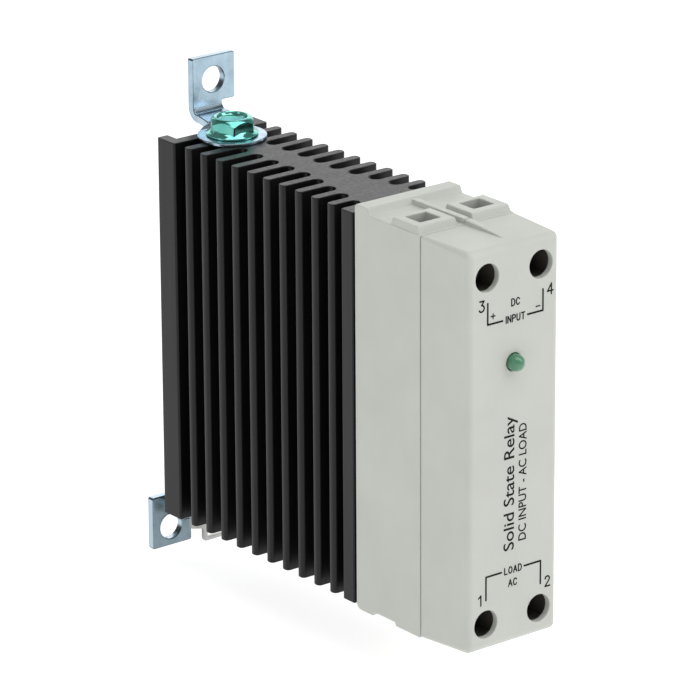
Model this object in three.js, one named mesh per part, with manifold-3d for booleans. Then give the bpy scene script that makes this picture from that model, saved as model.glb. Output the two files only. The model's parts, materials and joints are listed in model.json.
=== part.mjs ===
// Slim solid state relay: a moulded terminal housing on the front of a finned, extruded
// aluminium heat sink, with two panel brackets, a rail hook and a sprung rail latch behind.
// Millimetres. +X to the right seen from the front, +Y from the front into the panel, +Z up.
// Shapes are written from the front face (y = 0), the heat sink's foot (z = 0) and the
// middle of its width (x = 0); the whole group is then moved so that the origin is a point
// on the upper bracket's back face, above its hole.
import * as THREE from "three";
import { mergeVertices } from "three/addons/utils/BufferGeometryUtils.js";
import Module from "manifold-3d";

// ---- driving dimensions ----
const SINK_HALF = 11.25;
const SINK_TOP = 77.3;
const FLANGE_FRONT = 32.8;
const FLANGE_BACK = 36.3;
const FIN_COUNT = 10;
const FIN_PITCH = 4.911;
const FIN_THICK = 2.0;
const FIN_FIRST_BACK = 84.9;
const BLOCK_FRONT = 87.86;
const SINK_BACK = 93.36;
const CHANNEL_FLOOR = 90.4;
const CHANNEL_HALF = 8.8;
const WEB_HALF = 2.6;

const BASE_HALF = 11.08;
const BASE_FRONT = 13.4;
const BASE_BACK = 32.4;
const SHELF = 77.87;
const RIDGE = 79.2;
const WALL = 1.2;
const COVER_BACK = 13.1;
const COVER_HALF_FRONT = 10.68;
const COVER_HALF_BACK = 11.05;

const TERMINAL_X = 6.3;
const TERMINAL_TOP = 72.25;
const TERMINAL_BOTTOM = 5.1;
const DRIVER_HOLE_R = 2.7;
const WIRE_Y = 18.4;
const WIRE_X = 4.8;
const WIRE_DEPTH = 4.4;

const SHEET = 1.6;
const TAB_FRONT = 97.2;
const TAB_HOLE_R = 2.6;
const SCREW_Y = 84.3;
const UPPER_BEND = 1.2;
const LOWER_BEND = 0.9;

const PLATE_FRONT = 90.7;
const PLATE = 0.9;
const RAIL_LOW = 21.2;
const RAIL_HIGH = 56.2;
const LOOP_HALF = 3.55;
const LOOP_FOOT = -7.4;

const ORIGIN = new THREE.Vector3(5.1, TAB_FRONT + SHEET, 88.7);

// ---- materials ----
const material = (color, roughness, metalness) =>
  new THREE.MeshStandardMaterial({ color, roughness, metalness });
const plastic = material(0xcdcfc8, 0.55, 0.0);
const anodised = material(0x1d1d1f, 0.5, 0.6);
const zinc = material(0xb4c4d0, 0.3, 0.9);
const greenZinc = material(0x3fae9c, 0.25, 0.85);
const stainless = material(0x9a9a97, 0.4, 0.9);
const plated = material(0xb9b9b2, 0.35, 0.9);
const copper = material(0xc9a27a, 0.35, 0.9);
const lens = material(0x4f9a72, 0.3, 0.0);
const laminate = material(0x1f6b3c, 0.6, 0.0);
const black = material(0x1a1a1a, 0.6, 0.0);
const ceramic = material(0xe8e6dd, 0.5, 0.0);
const silicon = material(0x3a3d45, 0.3, 0.4);
const pad = material(0xa9adb3, 0.8, 0.0);
const blue = material(0x2a5fb0, 0.5, 0.0);
const tan = material(0xc9a878, 0.6, 0.0);
const red = material(0xa8392c, 0.5, 0.0);

// ---- geometry helpers ----
const wasm = await Module();
wasm.setup();

function solid(geometry) {
  const clean = geometry.clone();
  clean.deleteAttribute("normal");
  clean.deleteAttribute("uv");
  const merged = mergeVertices(clean, 1e-4);
  return new wasm.Manifold(new wasm.Mesh({
    numProp: 3,
    vertProperties: Float32Array.from(merged.attributes.position.array),
    triVerts: Uint32Array.from(merged.index.array),
  }));
}

function geometryOf(body) {
  const mesh = body.getMesh();
  const geometry = new THREE.BufferGeometry();
  geometry.setAttribute("position", new THREE.BufferAttribute(Float32Array.from(mesh.vertProperties), 3));
  geometry.setIndex(new THREE.BufferAttribute(Uint32Array.from(mesh.triVerts), 1));
  geometry.computeVertexNormals();
  return geometry;
}

const axisX = new THREE.Vector3(1, 0, 0);
const axisY = new THREE.Vector3(0, 1, 0);
const axisZ = new THREE.Vector3(0, 0, 1);
const minusY = new THREE.Vector3(0, -1, 0);

function shapeFrom(points) {
  return new THREE.Shape(points.map(([a, b]) => new THREE.Vector2(a, b)));
}

// a closed outline in X and Y, from z0 up to z1
function alongZ(shape, z0, z1, curveSegments = 12) {
  const geometry = new THREE.ExtrudeGeometry(shape, { depth: z1 - z0, bevelEnabled: false, curveSegments });
  return geometry.translate(0, 0, z0);
}

// a closed outline in X and Z, from y0 back to y1
function alongY(shape, y0, y1, curveSegments = 12) {
  const geometry = new THREE.ExtrudeGeometry(shape, { depth: y1 - y0, bevelEnabled: false, curveSegments });
  geometry.applyMatrix4(new THREE.Matrix4().makeBasis(axisX, axisZ, minusY));
  return geometry.translate(0, y1, 0);
}

// a closed outline in Y and Z, from x0 across to x1
function alongX(shape, x0, x1, curveSegments = 12) {
  const geometry = new THREE.ExtrudeGeometry(shape, { depth: x1 - x0, bevelEnabled: false, curveSegments });
  geometry.applyMatrix4(new THREE.Matrix4().makeBasis(axisY, axisZ, axisX));
  return geometry.translate(x0, 0, 0);
}

function box(x0, x1, y0, y1, z0, z1) {
  const geometry = new THREE.BoxGeometry(x1 - x0, y1 - y0, z1 - z0);
  return geometry.translate((x0 + x1) / 2, (y0 + y1) / 2, (z0 + z1) / 2);
}

// a cylinder along Y from y0 to y1, or along Z from z0 to z1
function rodY(radius, x, z, y0, y1, segments = 24) {
  const geometry = new THREE.CylinderGeometry(radius, radius, y1 - y0, segments);
  return geometry.translate(x, (y0 + y1) / 2, z);
}

function rodZ(radius, x, y, z0, z1, segments = 24) {
  const geometry = new THREE.CylinderGeometry(radius, radius, z1 - z0, segments);
  return geometry.rotateX(Math.PI / 2).translate(x, y, (z0 + z1) / 2);
}

function join(first, ...others) {
  return others.reduce((sum, geometry) => sum.add(solid(geometry)), solid(first));
}

function arc(cx, cy, radius, from, to, steps) {
  const points = [];
  for (let i = 0; i <= steps; i += 1) {
    const angle = THREE.MathUtils.degToRad(from + (to - from) * i / steps);
    points.push([cx + radius * Math.cos(angle), cy + radius * Math.sin(angle)]);
  }
  return points;
}

function roundedRect(x0, x1, z0, z1, r) {
  return shapeFrom([
    ...arc(x1 - r, z0 + r, r, -90, 0, 3),
    ...arc(x1 - r, z1 - r, r, 0, 90, 3),
    ...arc(x0 + r, z1 - r, r, 90, 180, 3),
    ...arc(x0 + r, z0 + r, r, 180, 270, 3),
  ]);
}

// moves every vertex with a function of its position
function warp(geometry, move) {
  const position = geometry.attributes.position;
  const point = new THREE.Vector3();
  for (let i = 0; i < position.count; i += 1) {
    point.fromBufferAttribute(position, i);
    move(point);
    position.setXYZ(i, point.x, point.y, point.z);
  }
  return geometry;
}

const relay = new THREE.Group();
relay.position.copy(ORIGIN).negate();

function add(name, geometry, surface) {
  const mesh = new THREE.Mesh(geometry, surface);
  mesh.name = name;
  relay.add(mesh);
}

// ---- heat sink: one extrusion, fins on both sides of a web that thickens to the front ----
function webHalf(y) {
  return WEB_HALF + Math.max(0, 56 - y) * 0.182;
}

function sinkSide() {
  const side = [
    [CHANNEL_HALF, CHANNEL_FLOOR],
    [CHANNEL_HALF, SINK_BACK],
    [SINK_HALF, SINK_BACK],
    [SINK_HALF, BLOCK_FRONT],
  ];
  let back = BLOCK_FRONT;
  for (let i = 0; i <= FIN_COUNT; i += 1) {
    const front = i < FIN_COUNT ? FIN_FIRST_BACK - i * FIN_PITCH : FLANGE_BACK;
    const middle = (back + front) / 2;
    const half = (back - front) / 2;
    side.push(...arc(webHalf(middle) + half, middle, half, 90, 270, 4));
    if (i < FIN_COUNT) {
      const tip = 0.8;
      side.push(...arc(SINK_HALF - tip, front - tip, tip, 90, 0, 2));
      side.push(...arc(SINK_HALF - tip, front - FIN_THICK + tip, tip, 0, -90, 2));
      back = front - FIN_THICK;
    }
  }
  side.push([SINK_HALF, FLANGE_BACK]);
  side.push([SINK_HALF, FLANGE_FRONT]);
  return side;
}

const rightSide = sinkSide();
const leftSide = rightSide.map(([x, y]) => [-x, y]).reverse();
const sinkBody = solid(alongZ(shapeFrom([...rightSide, ...leftSide]), 0, SINK_TOP))
  .subtract(solid(rodZ(2.05, 0, SCREW_Y, SINK_TOP - 10, SINK_TOP + 1, 16)))
  .subtract(solid(rodZ(2.05, 0, SCREW_Y, -1, 8, 16)))
  .subtract(solid(rodY(1.45, 0, 66, 84.5, CHANNEL_FLOOR + 1, 12)))
  .subtract(solid(rodY(1.45, 0, 13, FLANGE_FRONT - 1, 39, 12)))
  .subtract(solid(rodY(1.45, 0, 66, FLANGE_FRONT - 1, 39, 12)));
add("heat_sink", geometryOf(sinkBody), anodised);

// ---- housing base: open at the front, with a raised ridge along its back edge ----
const baseProfile = shapeFrom([
  [BASE_FRONT, -0.75],
  [20.6, -0.75],
  [20.9, -0.05],
  [27.2, -0.05],
  [27.5, -0.85],
  ...arc(BASE_BACK - 1.4, 0.55, 1.4, -90, 0, 3),
  ...arc(BASE_BACK - 0.8, RIDGE - 0.8, 0.8, 0, 90, 3),
  [28.9, RIDGE],
  [28.1, SHELF],
  [BASE_FRONT, SHELF],
]);
let baseBody = solid(alongX(baseProfile, -BASE_HALF, BASE_HALF));

// a drafted square boss around each upper wire entry, and a rib between them
function boss(side) {
  const geometry = box(-4.4, 4.4, -3.62, 3.62, SHELF - 0.6, RIDGE);
  warp(geometry, (p) => {
    if (p.z < SHELF) {
      p.x *= 1.05;
      p.y = p.y < 0 ? p.y - 1.0 : p.y + 0.3;
    }
  });
  return geometry.translate(side * TERMINAL_X, 18.08, 0);
}
baseBody = baseBody.add(solid(boss(-1))).add(solid(boss(1)));
baseBody = baseBody.add(solid(box(-0.7, 0.7, BASE_FRONT + 0.2, 29.5, SHELF - 0.6, RIDGE - 0.35)));

// the hollow, the wire entries, the window for the power substrate and the screw holes
const INNER_HALF = BASE_HALF - WALL;
baseBody = baseBody.subtract(solid(box(-INNER_HALF, INNER_HALF, BASE_FRONT - 1, 30.9, 0.95, 76.4)));
for (const side of [-1, 1]) {
  const x0 = side * TERMINAL_X - WIRE_X / 2;
  const y0 = WIRE_Y - WIRE_DEPTH / 2;
  baseBody = baseBody
    .subtract(solid(box(x0, x0 + WIRE_X, y0, y0 + WIRE_DEPTH, 70, RIDGE + 1)))
    .subtract(solid(box(x0, x0 + WIRE_X, y0, y0 + WIRE_DEPTH, -2, 6)));
}
baseBody = baseBody
  .subtract(solid(box(-9.3, 9.3, 30, BASE_BACK + 1, 19.5, 56.5)))
  .subtract(solid(rodY(1.45, 0, 13, 30, BASE_BACK + 1, 12)))
  .subtract(solid(rodY(1.45, 0, 66, 30, BASE_BACK + 1, 12)));
add("housing_base", geometryOf(baseBody), plastic);

// ---- front cover: a drafted cap with a wedge rib, four screwdriver holes and a lamp hole ----
const COVER_ROUND = 1.3;

// the front edge is rounded by narrowing thin slices toward y = 0
function coverBody() {
  const steps = [
    [0, 0],
    [COVER_ROUND * 0.3, 0.55],
    [COVER_ROUND, 1],
  ];
  const middle = (SHELF - 0.57) / 2;
  const scaleAt = (y) => {
    const draft = (COVER_BACK - y) / COVER_BACK;
    let inset = 0;
    for (let i = 0; i < steps.length - 1; i += 1) {
      const [ya, fa] = steps[i];
      const [yb, fb] = steps[i + 1];
      if (y >= ya - 1e-6 && y <= yb + 1e-6) {
        inset = COVER_ROUND * 0.75 * (1 - (fa + (fb - fa) * (y - ya) / (yb - ya)));
      }
    }
    return { draft, inset };
  };
  const shape = roundedRect(-COVER_HALF_BACK, COVER_HALF_BACK, -0.55, SHELF - 0.02, 0.9);
  const cuts = [0, COVER_ROUND * 0.3, COVER_ROUND, COVER_BACK];
  let body = null;
  for (let i = 0; i < cuts.length - 1; i += 1) {
    const slice = alongY(shape, cuts[i], cuts[i + 1]);
    warp(slice, (p) => {
      const { draft, inset } = scaleAt(p.y);
      const halfX = COVER_HALF_BACK - (COVER_HALF_BACK - COVER_HALF_FRONT) * draft - inset;
      const low = -0.55 + 0.53 * draft + inset;
      const high = SHELF - 0.02 - 0.2 * draft - inset;
      p.x *= halfX / COVER_HALF_BACK;
      p.z = p.z < middle
        ? low + (p.z + 0.55) * (middle - low) / (middle + 0.55)
        : high - (SHELF - 0.02 - p.z) * (high - middle) / (SHELF - 0.02 - middle);
    });
    body = body === null ? solid(slice) : body.add(solid(slice));
  }
  return body;
}

let cover = coverBody();
const ribTop = RIDGE - 0.25;
const rib = box(-0.8, 0.8, 2.2, COVER_BACK, SHELF - 1, ribTop);
warp(rib, (p) => {
  if (p.y < 5) {
    p.x *= 0.1;
    p.z = p.z > SHELF ? SHELF - 0.15 : p.z;
  }
});
cover = cover.add(solid(rib));
const COVER_INNER = COVER_HALF_FRONT - WALL;
cover = cover.subtract(solid(box(-COVER_INNER, COVER_INNER, WALL, COVER_BACK + 1, 1.2, 76.3)));

for (const z of [TERMINAL_TOP, TERMINAL_BOTTOM]) {
  for (const side of [-1, 1]) {
    cover = cover.subtract(solid(rodY(DRIVER_HOLE_R, side * TERMINAL_X, z, -1, WALL + 0.5, 32)));
  }
}
const LAMP_Z = 54.95;
cover = cover.subtract(solid(rodY(1.9, 0, LAMP_Z, -1, WALL + 1, 24)));
add("front_cover", geometryOf(cover), plastic);

// ---- terminal blocks: each pair of screws sits in a black block with two square wells ----
const BLOCK_GAP = 0.15;
const WELL_HALF = 2.8;
function terminalBlock(z, low, high) {
  let body = solid(box(-COVER_INNER + BLOCK_GAP, COVER_INNER - BLOCK_GAP, WALL + BLOCK_GAP, 7.6, low, high));
  for (const side of [-1, 1]) {
    const x = side * TERMINAL_X;
    body = body.subtract(solid(box(x - WELL_HALF, x + WELL_HALF, WALL, 9, z - WELL_HALF, z + WELL_HALF)));
  }
  return geometryOf(body);
}
add("terminal_block_upper", terminalBlock(TERMINAL_TOP, 67.6, 76.1), black);
add("terminal_block_lower", terminalBlock(TERMINAL_BOTTOM, 1.4, 9.8), black);

// ---- status lamp: a domed 3 mm lamp on two leads that reach the control board ----
const BOARD_FRONT = 24.0;
const lampProfile = [
  new THREE.Vector2(0, -2.3),
  ...arc(0, -0.7, 1.6, -67.5, 0, 4).map(([r, y]) => new THREE.Vector2(r, y)),
  new THREE.Vector2(1.6, 3.2),
  new THREE.Vector2(0, 3.2),
];
const lampBody = new THREE.LatheGeometry(lampProfile, 20).translate(0, 0, LAMP_Z);
add("status_led", geometryOf(join(
  lampBody,
  box(-1.5, -1.0, 3.0, BOARD_FRONT - 0.1, LAMP_Z - 0.25, LAMP_Z + 0.25),
  box(1.0, 1.5, 3.0, BOARD_FRONT - 0.1, LAMP_Z - 0.25, LAMP_Z + 0.25),
)), lens);

// ---- control board and the pieces on it ----
add("control_board", box(-9.3, 9.3, BOARD_FRONT, BOARD_FRONT + 1.6, 26, 62), laminate);

add("optocoupler", geometryOf(join(
  box(-7.9, -1.5, 20.0, 23.4, 43.0, 51.5),
  box(-8.6, -7.8, 21.2, 23.9, 44.0, 50.5),
  box(-1.6, -0.8, 21.2, 23.9, 44.0, 50.5),
)), black);

function axialPart(radius, x, y, z, length, reach) {
  const body = new THREE.CylinderGeometry(radius, radius, length, 16).rotateZ(Math.PI / 2);
  body.translate(x, y, z);
  const half = length / 2;
  return geometryOf(join(
    body,
    box(x - half - 1.2, x - half + 0.4, y - 0.25, y + 0.25, z - 0.25, z + 0.25),
    box(x + half - 0.4, x + half + 1.2, y - 0.25, y + 0.25, z - 0.25, z + 0.25),
    box(x - half - 1.2, x - half - 0.7, y - 0.25, reach, z - 0.25, z + 0.25),
    box(x + half + 0.7, x + half + 1.2, y - 0.25, reach, z - 0.25, z + 0.25),
  ));
}
add("trigger_resistor", axialPart(0.95, 4.6, 22.4, 58.6, 5.4, 23.9), tan);
add("snubber_resistor", axialPart(1.3, 0, 22.0, 39.4, 9.5, 23.9), blue);
add("snubber_capacitor", box(-7.5, 5.5, 15.5, 23.9, 28.0, 34.5), red);
add("varistor", geometryOf(join(
  rodY(4.2, 4.6, 47.2, 19.2, 22.4, 24),
  box(2.4, 2.9, 22.0, 23.9, 46.9, 47.4),
  box(6.4, 6.9, 22.0, 23.9, 46.9, 47.4),
)), blue);

// ---- power stage on the heat sink's front flange ----
add("thermal_pad", box(-9.0, 9.0, 32.45, FLANGE_FRONT - 0.05, 20, 56), pad);
add("power_substrate", box(-9.0, 9.0, 31.5, 32.4, 20, 56), ceramic);
add("thyristor_die_a", box(-7.6, -0.8, 31.0, 31.45, 34.5, 41.3), silicon);
add("thyristor_die_b", box(0.8, 7.6, 31.0, 31.45, 34.5, 41.3), silicon);

// ---- four screw terminals: fixed bar, rising clamp cage and captive screw ----
const HEAD_FRONT = 4.7;
const HEAD_BACK = 7.2;
const BAR_FRONT = 14.9;
const BAR_BACK = 15.9;

function terminalScrew(x, z) {
  const profile = [
    new THREE.Vector2(0, HEAD_FRONT),
    new THREE.Vector2(2.1, HEAD_FRONT),
    new THREE.Vector2(2.6, HEAD_FRONT + 0.5),
    new THREE.Vector2(2.6, HEAD_BACK),
    new THREE.Vector2(1.4, HEAD_BACK),
    new THREE.Vector2(1.4, BAR_FRONT - 0.7),
    new THREE.Vector2(1.0, BAR_FRONT - 0.3),
    new THREE.Vector2(0, BAR_FRONT - 0.3),
  ];
  const body = solid(new THREE.LatheGeometry(profile, 20))
    .subtract(solid(box(-3, 3, HEAD_FRONT - 1, HEAD_FRONT + 1.1, -0.45, 0.45)))
    .subtract(solid(box(-0.45, 0.45, HEAD_FRONT - 1, HEAD_FRONT + 1.1, -1.7, 1.7)));
  return geometryOf(body).translate(x, 0, z);
}

function clampCage(x, z) {
  const body = solid(box(-3.0, 3.0, 12.0, 22.3, -3.2, 3.2))
    .subtract(solid(box(-2.2, 2.2, 14.0, 21.2, -4, 4)))
    .subtract(solid(rodY(1.7, 0, 0, 11, 15, 16)));
  return geometryOf(body).translate(x, 0, z);
}

// the bar's outer end passes through the cage; its inner end turns back to the board or substrate
function terminalBar(x, zOuter, zInner, yEnd) {
  const low = Math.min(zOuter, zInner);
  const high = Math.max(zOuter, zInner);
  const leg = zInner > zOuter ? [high - 1.0, high] : [low, low + 1.0];
  return geometryOf(join(
    box(x - 1.8, x + 1.8, BAR_FRONT, BAR_BACK, low, high),
    box(x - 1.8, x + 1.8, BAR_FRONT, yEnd, leg[0], leg[1]),
  ));
}

const terminals = [
  { number: 1, x: -TERMINAL_X, z: TERMINAL_BOTTOM, outer: 1.4, inner: 23.0, end: 31.4 },
  { number: 2, x: TERMINAL_X, z: TERMINAL_BOTTOM, outer: 1.4, inner: 23.0, end: 31.4 },
  { number: 3, x: -TERMINAL_X, z: TERMINAL_TOP, outer: 76.0, inner: 60.0, end: 23.9 },
  { number: 4, x: TERMINAL_X, z: TERMINAL_TOP, outer: 76.0, inner: 60.0, end: 23.9 },
];
for (const { number, x, z, outer, inner, end } of terminals) {
  add(`terminal_screw_${number}`, terminalScrew(x, z), plated);
  add(`clamp_cage_${number}`, clampCage(x, z), plated);
  add(`terminal_bar_${number}`, terminalBar(x, outer, inner, end), copper);
}

// ---- two inner screws hold the housing to the heat sink's flange ----
function shoulderScrewY(x, z, yHead, yFace, yTip, headR, shankR) {
  const profile = [
    new THREE.Vector2(0, yHead),
    new THREE.Vector2(headR - 0.5, yHead),
    new THREE.Vector2(headR, yHead + 0.6),
    new THREE.Vector2(headR, yFace),
    new THREE.Vector2(shankR, yFace),
    new THREE.Vector2(shankR, yTip),
    new THREE.Vector2(0, yTip),
  ];
  return new THREE.LatheGeometry(profile, 16).translate(x, 0, z);
}
add("housing_screw_lower", shoulderScrewY(0, 13, 28.8, 30.88, 38.0, 2.6, 1.15), plated);
add("housing_screw_upper", shoulderScrewY(0, 66, 28.8, 30.88, 38.0, 2.6, 1.15), plated);

// ---- upper bracket: a tab with one hole, bent forward into a foot pressed thin under the screw ----
function bendStrip(x0, x1, radius, centreZ, down) {
  const centreY = TAB_FRONT - radius;
  const from = down ? 90 : -90;
  const shape = shapeFrom([
    ...arc(centreY, centreZ, radius + SHEET, from, 0, 5),
    ...arc(centreY, centreZ, radius, 0, from, 5),
  ]);
  return alongX(shape, x0, x1);
}

const FOOT_TOP = SINK_TOP + SHEET;
const PAD_TOP = SINK_TOP + 0.65;
const PAD_END = 90.0;
const UPPER_BEND_Y = TAB_FRONT - UPPER_BEND;
const upperTab = join(
  alongY(roundedRect(0.2, 10.4, 80.45, 89.8, 0.5), TAB_FRONT, TAB_FRONT + SHEET),
  box(0.2, 7.3, TAB_FRONT, TAB_FRONT + SHEET, FOOT_TOP + UPPER_BEND, 81.5),
  bendStrip(0.2, 7.3, UPPER_BEND, FOOT_TOP + UPPER_BEND, false),
  alongZ(shapeFrom([
    [0.2, UPPER_BEND_Y + 0.01],
    [-1.1, PAD_END],
    [6.75, PAD_END],
    [7.3, UPPER_BEND_Y + 0.01],
  ]), SINK_TOP, FOOT_TOP),
  alongZ(shapeFrom([
    [-1.1, PAD_END + 0.01],
    [-1.5, 88],
    [-3.5, 84],
    [4.5, 84],
    [6.6, 88],
    [6.75, PAD_END + 0.01],
  ]), SINK_TOP, PAD_TOP),
  rodZ(6.7, 0, SCREW_Y, SINK_TOP, PAD_TOP, 40),
);
add("upper_bracket", geometryOf(upperTab
  .subtract(solid(rodY(TAB_HOLE_R, 5.2, 84.95, TAB_FRONT - 1, TAB_FRONT + SHEET + 1, 32)))
  .subtract(solid(rodZ(2.4, 0, SCREW_Y, SINK_TOP - 1, FOOT_TOP + 1, 24)))), zinc);

// ---- ground screw: hexagon head with a dished top on a washer flange ----
const hexagon = shapeFrom(arc(0, 0, 4.62, 0, 300, 5));
const headTop = PAD_TOP + 3.6;
const flangeProfile = [
  new THREE.Vector2(0, 0),
  new THREE.Vector2(5.1, 0),
  new THREE.Vector2(5.1, 0.5),
  new THREE.Vector2(4.3, 1.0),
  new THREE.Vector2(0, 1.0),
];
const flange = new THREE.LatheGeometry(flangeProfile, 32).rotateX(Math.PI / 2).translate(0, 0, PAD_TOP);
const hexTurn = Math.atan2(-0.787, -0.617) + THREE.MathUtils.degToRad(6);
const hexBody = alongZ(hexagon, PAD_TOP + 0.5, headTop).rotateZ(hexTurn);
const chamfer = new THREE.LatheGeometry([
  new THREE.Vector2(0, 0),
  new THREE.Vector2(5.4, 0),
  new THREE.Vector2(5.4, 2.4),
  new THREE.Vector2(3.8, 3.6),
  new THREE.Vector2(0, 3.6),
], 32).rotateX(Math.PI / 2).translate(0, 0, PAD_TOP);
const groundScrew = solid(hexBody).intersect(solid(chamfer))
  .add(solid(flange))
  .subtract(solid(rodZ(3.0, 0, 0, headTop - 0.6, headTop + 1, 24)))
  .add(solid(rodZ(1.75, 0, 0, SINK_TOP - 9, PAD_TOP + 0.5, 16)));
add("ground_screw", geometryOf(groundScrew).translate(0, SCREW_Y, 0), greenZinc);

// ---- lower bracket: its tab has a tall left wing and a short right one beside the bent neck ----
const NECK_LOW = -SHEET - LOWER_BEND;
const LOWER_BEND_Y = TAB_FRONT - LOWER_BEND;
const lowerTab = shapeFrom([
  ...arc(-2.35, -8.8, 0.5, -90, 0, 3),
  ...arc(-2.15, -4.9, 0.3, 0, 90, 3),
  [-3.6, -4.6],
  [-3.6, -3.4],
  [-4.35, NECK_LOW],
  [-7.5, NECK_LOW],
  ...arc(-7.8, 1.3, 0.3, 0, 90, 3),
  ...arc(-10.85, 1.1, 0.5, 90, 180, 3),
  ...arc(-10.85, -8.8, 0.5, 180, 270, 3),
]);
const lowerBody = solid(alongY(lowerTab, TAB_FRONT, TAB_FRONT + SHEET))
  .add(solid(bendStrip(-7.1, -4.35, LOWER_BEND, NECK_LOW, true)))
  .add(solid(alongZ(shapeFrom([
    [-7.1, LOWER_BEND_Y + 0.01],
    [-7.1, 90],
    [-6.3, 86],
    [-3, 81],
    [0, 86],
    [-4.35, 89],
    [-4.35, LOWER_BEND_Y + 0.01],
  ].reverse()), -SHEET, 0)))
  .add(solid(rodZ(5.5, 0, SCREW_Y, -SHEET, 0, 32)))
  .subtract(solid(rodY(TAB_HOLE_R, -6.8, -5.3, TAB_FRONT - 1, TAB_FRONT + SHEET + 1, 32)))
  .subtract(solid(rodZ(2.4, 0, SCREW_Y, -SHEET - 1, 1, 24)));
add("lower_bracket", geometryOf(lowerBody), zinc);

const lowerScrew = new THREE.LatheGeometry([
  new THREE.Vector2(0, -SHEET - 2.2),
  new THREE.Vector2(3.0, -SHEET - 2.2),
  new THREE.Vector2(3.6, -SHEET - 1.6),
  new THREE.Vector2(3.6, -SHEET),
  new THREE.Vector2(1.75, -SHEET),
  new THREE.Vector2(1.75, 7.0),
  new THREE.Vector2(0, 7.0),
], 20).rotateX(Math.PI / 2);
const lowerCross = box(-2, 2, -0.5, 0.5, -SHEET - 3, -SHEET - 1.2);
const lowerCrossTurned = box(-0.5, 0.5, -2, 2, -SHEET - 3, -SHEET - 1.2);
add("lower_bracket_screw", geometryOf(solid(lowerScrew)
  .subtract(solid(lowerCross))
  .subtract(solid(lowerCrossTurned))).translate(0, SCREW_Y, 0), plated);

// ---- rail hook: a plate in the rear channel with a finger over the rail's upper edge ----
const PLATE_BACK = PLATE_FRONT + PLATE;
const FINGER_FRONT = 95.0;
const FINGER_BACK = FINGER_FRONT + PLATE;
const hookProfile = shapeFrom([
  [PLATE_FRONT, RAIL_HIGH + 0.2],
  [FINGER_FRONT, RAIL_HIGH + 0.2],
  [FINGER_FRONT, RAIL_HIGH - 2.3],
  [FINGER_BACK, RAIL_HIGH - 2.3],
  [FINGER_BACK, RAIL_HIGH + 1.4],
  [PLATE_BACK, RAIL_HIGH + 1.4],
  [PLATE_BACK, 74],
  [PLATE_FRONT, 74],
]);
const hookBody = solid(alongX(hookProfile, -6, 6))
  .add(solid(box(-8.4, 8.4, PLATE_FRONT, PLATE_BACK, 59.5, 74)))
  .add(solid(box(-1.3, 1.3, PLATE_FRONT, PLATE_BACK, 52.8, 57)))
  .subtract(solid(rodY(1.6, 0, 66, PLATE_FRONT - 1, PLATE_BACK + 1, 16)));
add("rail_hook", geometryOf(hookBody), stainless);

const hookScrew = new THREE.LatheGeometry([
  new THREE.Vector2(0, 85.2),
  new THREE.Vector2(1.15, 85.2),
  new THREE.Vector2(1.15, PLATE_BACK + 0.02),
  new THREE.Vector2(2.7, PLATE_BACK + 0.02),
  new THREE.Vector2(2.7, PLATE_BACK + 0.9),
  new THREE.Vector2(2.2, PLATE_BACK + 1.3),
  new THREE.Vector2(0, PLATE_BACK + 1.3),
], 16).translate(0, 0, 66);
add("rail_hook_screw", hookScrew, plated);

// ---- rail latch: slides down in the same channel; its loop hangs below for a screwdriver ----
const latchProfile = shapeFrom([
  [PLATE_FRONT, 6.5],
  [PLATE_BACK, 6.5],
  [PLATE_BACK, RAIL_LOW - 1.4],
  [FINGER_BACK, RAIL_LOW - 1.4],
  [FINGER_BACK, RAIL_LOW + 2.3],
  [FINGER_FRONT, RAIL_LOW + 2.3],
  [FINGER_FRONT, RAIL_LOW - 0.2],
  [PLATE_FRONT, RAIL_LOW - 0.2],
]);
const latchFace = shapeFrom([
  [-LOOP_HALF, 7.5],
  [-LOOP_HALF, -1.7],
  [-6.5, -1.7],
  [-6.5, -4.0],
  [-LOOP_HALF, -4.7],
  [-LOOP_HALF, LOOP_FOOT + 0.5],
  [-LOOP_HALF + 0.5, LOOP_FOOT],
  [LOOP_HALF - 0.5, LOOP_FOOT],
  [LOOP_HALF, LOOP_FOOT + 0.5],
  [LOOP_HALF, 7.5],
]);
const latchBody = solid(alongX(latchProfile, -6, 6))
  .add(solid(box(-8.2, 8.2, PLATE_FRONT, PLATE_BACK, 6.5, 18.5)))
  .add(solid(box(-1.3, 1.3, PLATE_FRONT, PLATE_BACK, 20, 25)))
  .add(solid(alongY(latchFace, PLATE_FRONT, PLATE_BACK)))
  .subtract(solid(box(-2.6, 2.6, PLATE_FRONT - 1, PLATE_BACK + 1, LOOP_FOOT + 0.75, -2.0)));
add("rail_latch", geometryOf(latchBody), stainless);

// ---- latch spring: a light tension spring between the hook plate and the latch ----
class Helix extends THREE.Curve {
  constructor(radius, height, turns) {
    super();
    this.radius = radius;
    this.height = height;
    this.turns = turns;
  }

  getPoint(t, target = new THREE.Vector3()) {
    const angle = 2 * Math.PI * this.turns * t;
    return target.set(this.radius * Math.cos(angle), this.radius * Math.sin(angle), this.height * t);
  }
}
const SPRING_LOW = 25.3;
const SPRING_HIGH = 52.5;
const wire = shapeFrom(arc(0, 0, 0.22, 0, 300, 5));
const coil = new THREE.ExtrudeGeometry(wire, {
  steps: 144,
  extrudePath: new Helix(0.8, SPRING_HIGH - SPRING_LOW, 12),
});
add("latch_spring", coil.translate(0, 91.95, SPRING_LOW), plated);

export default relay;
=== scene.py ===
import json
import math

import bpy
import bmesh
from mathutils import Matrix, Vector
from mathutils.geometry import delaunay_2d_cdt


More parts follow.
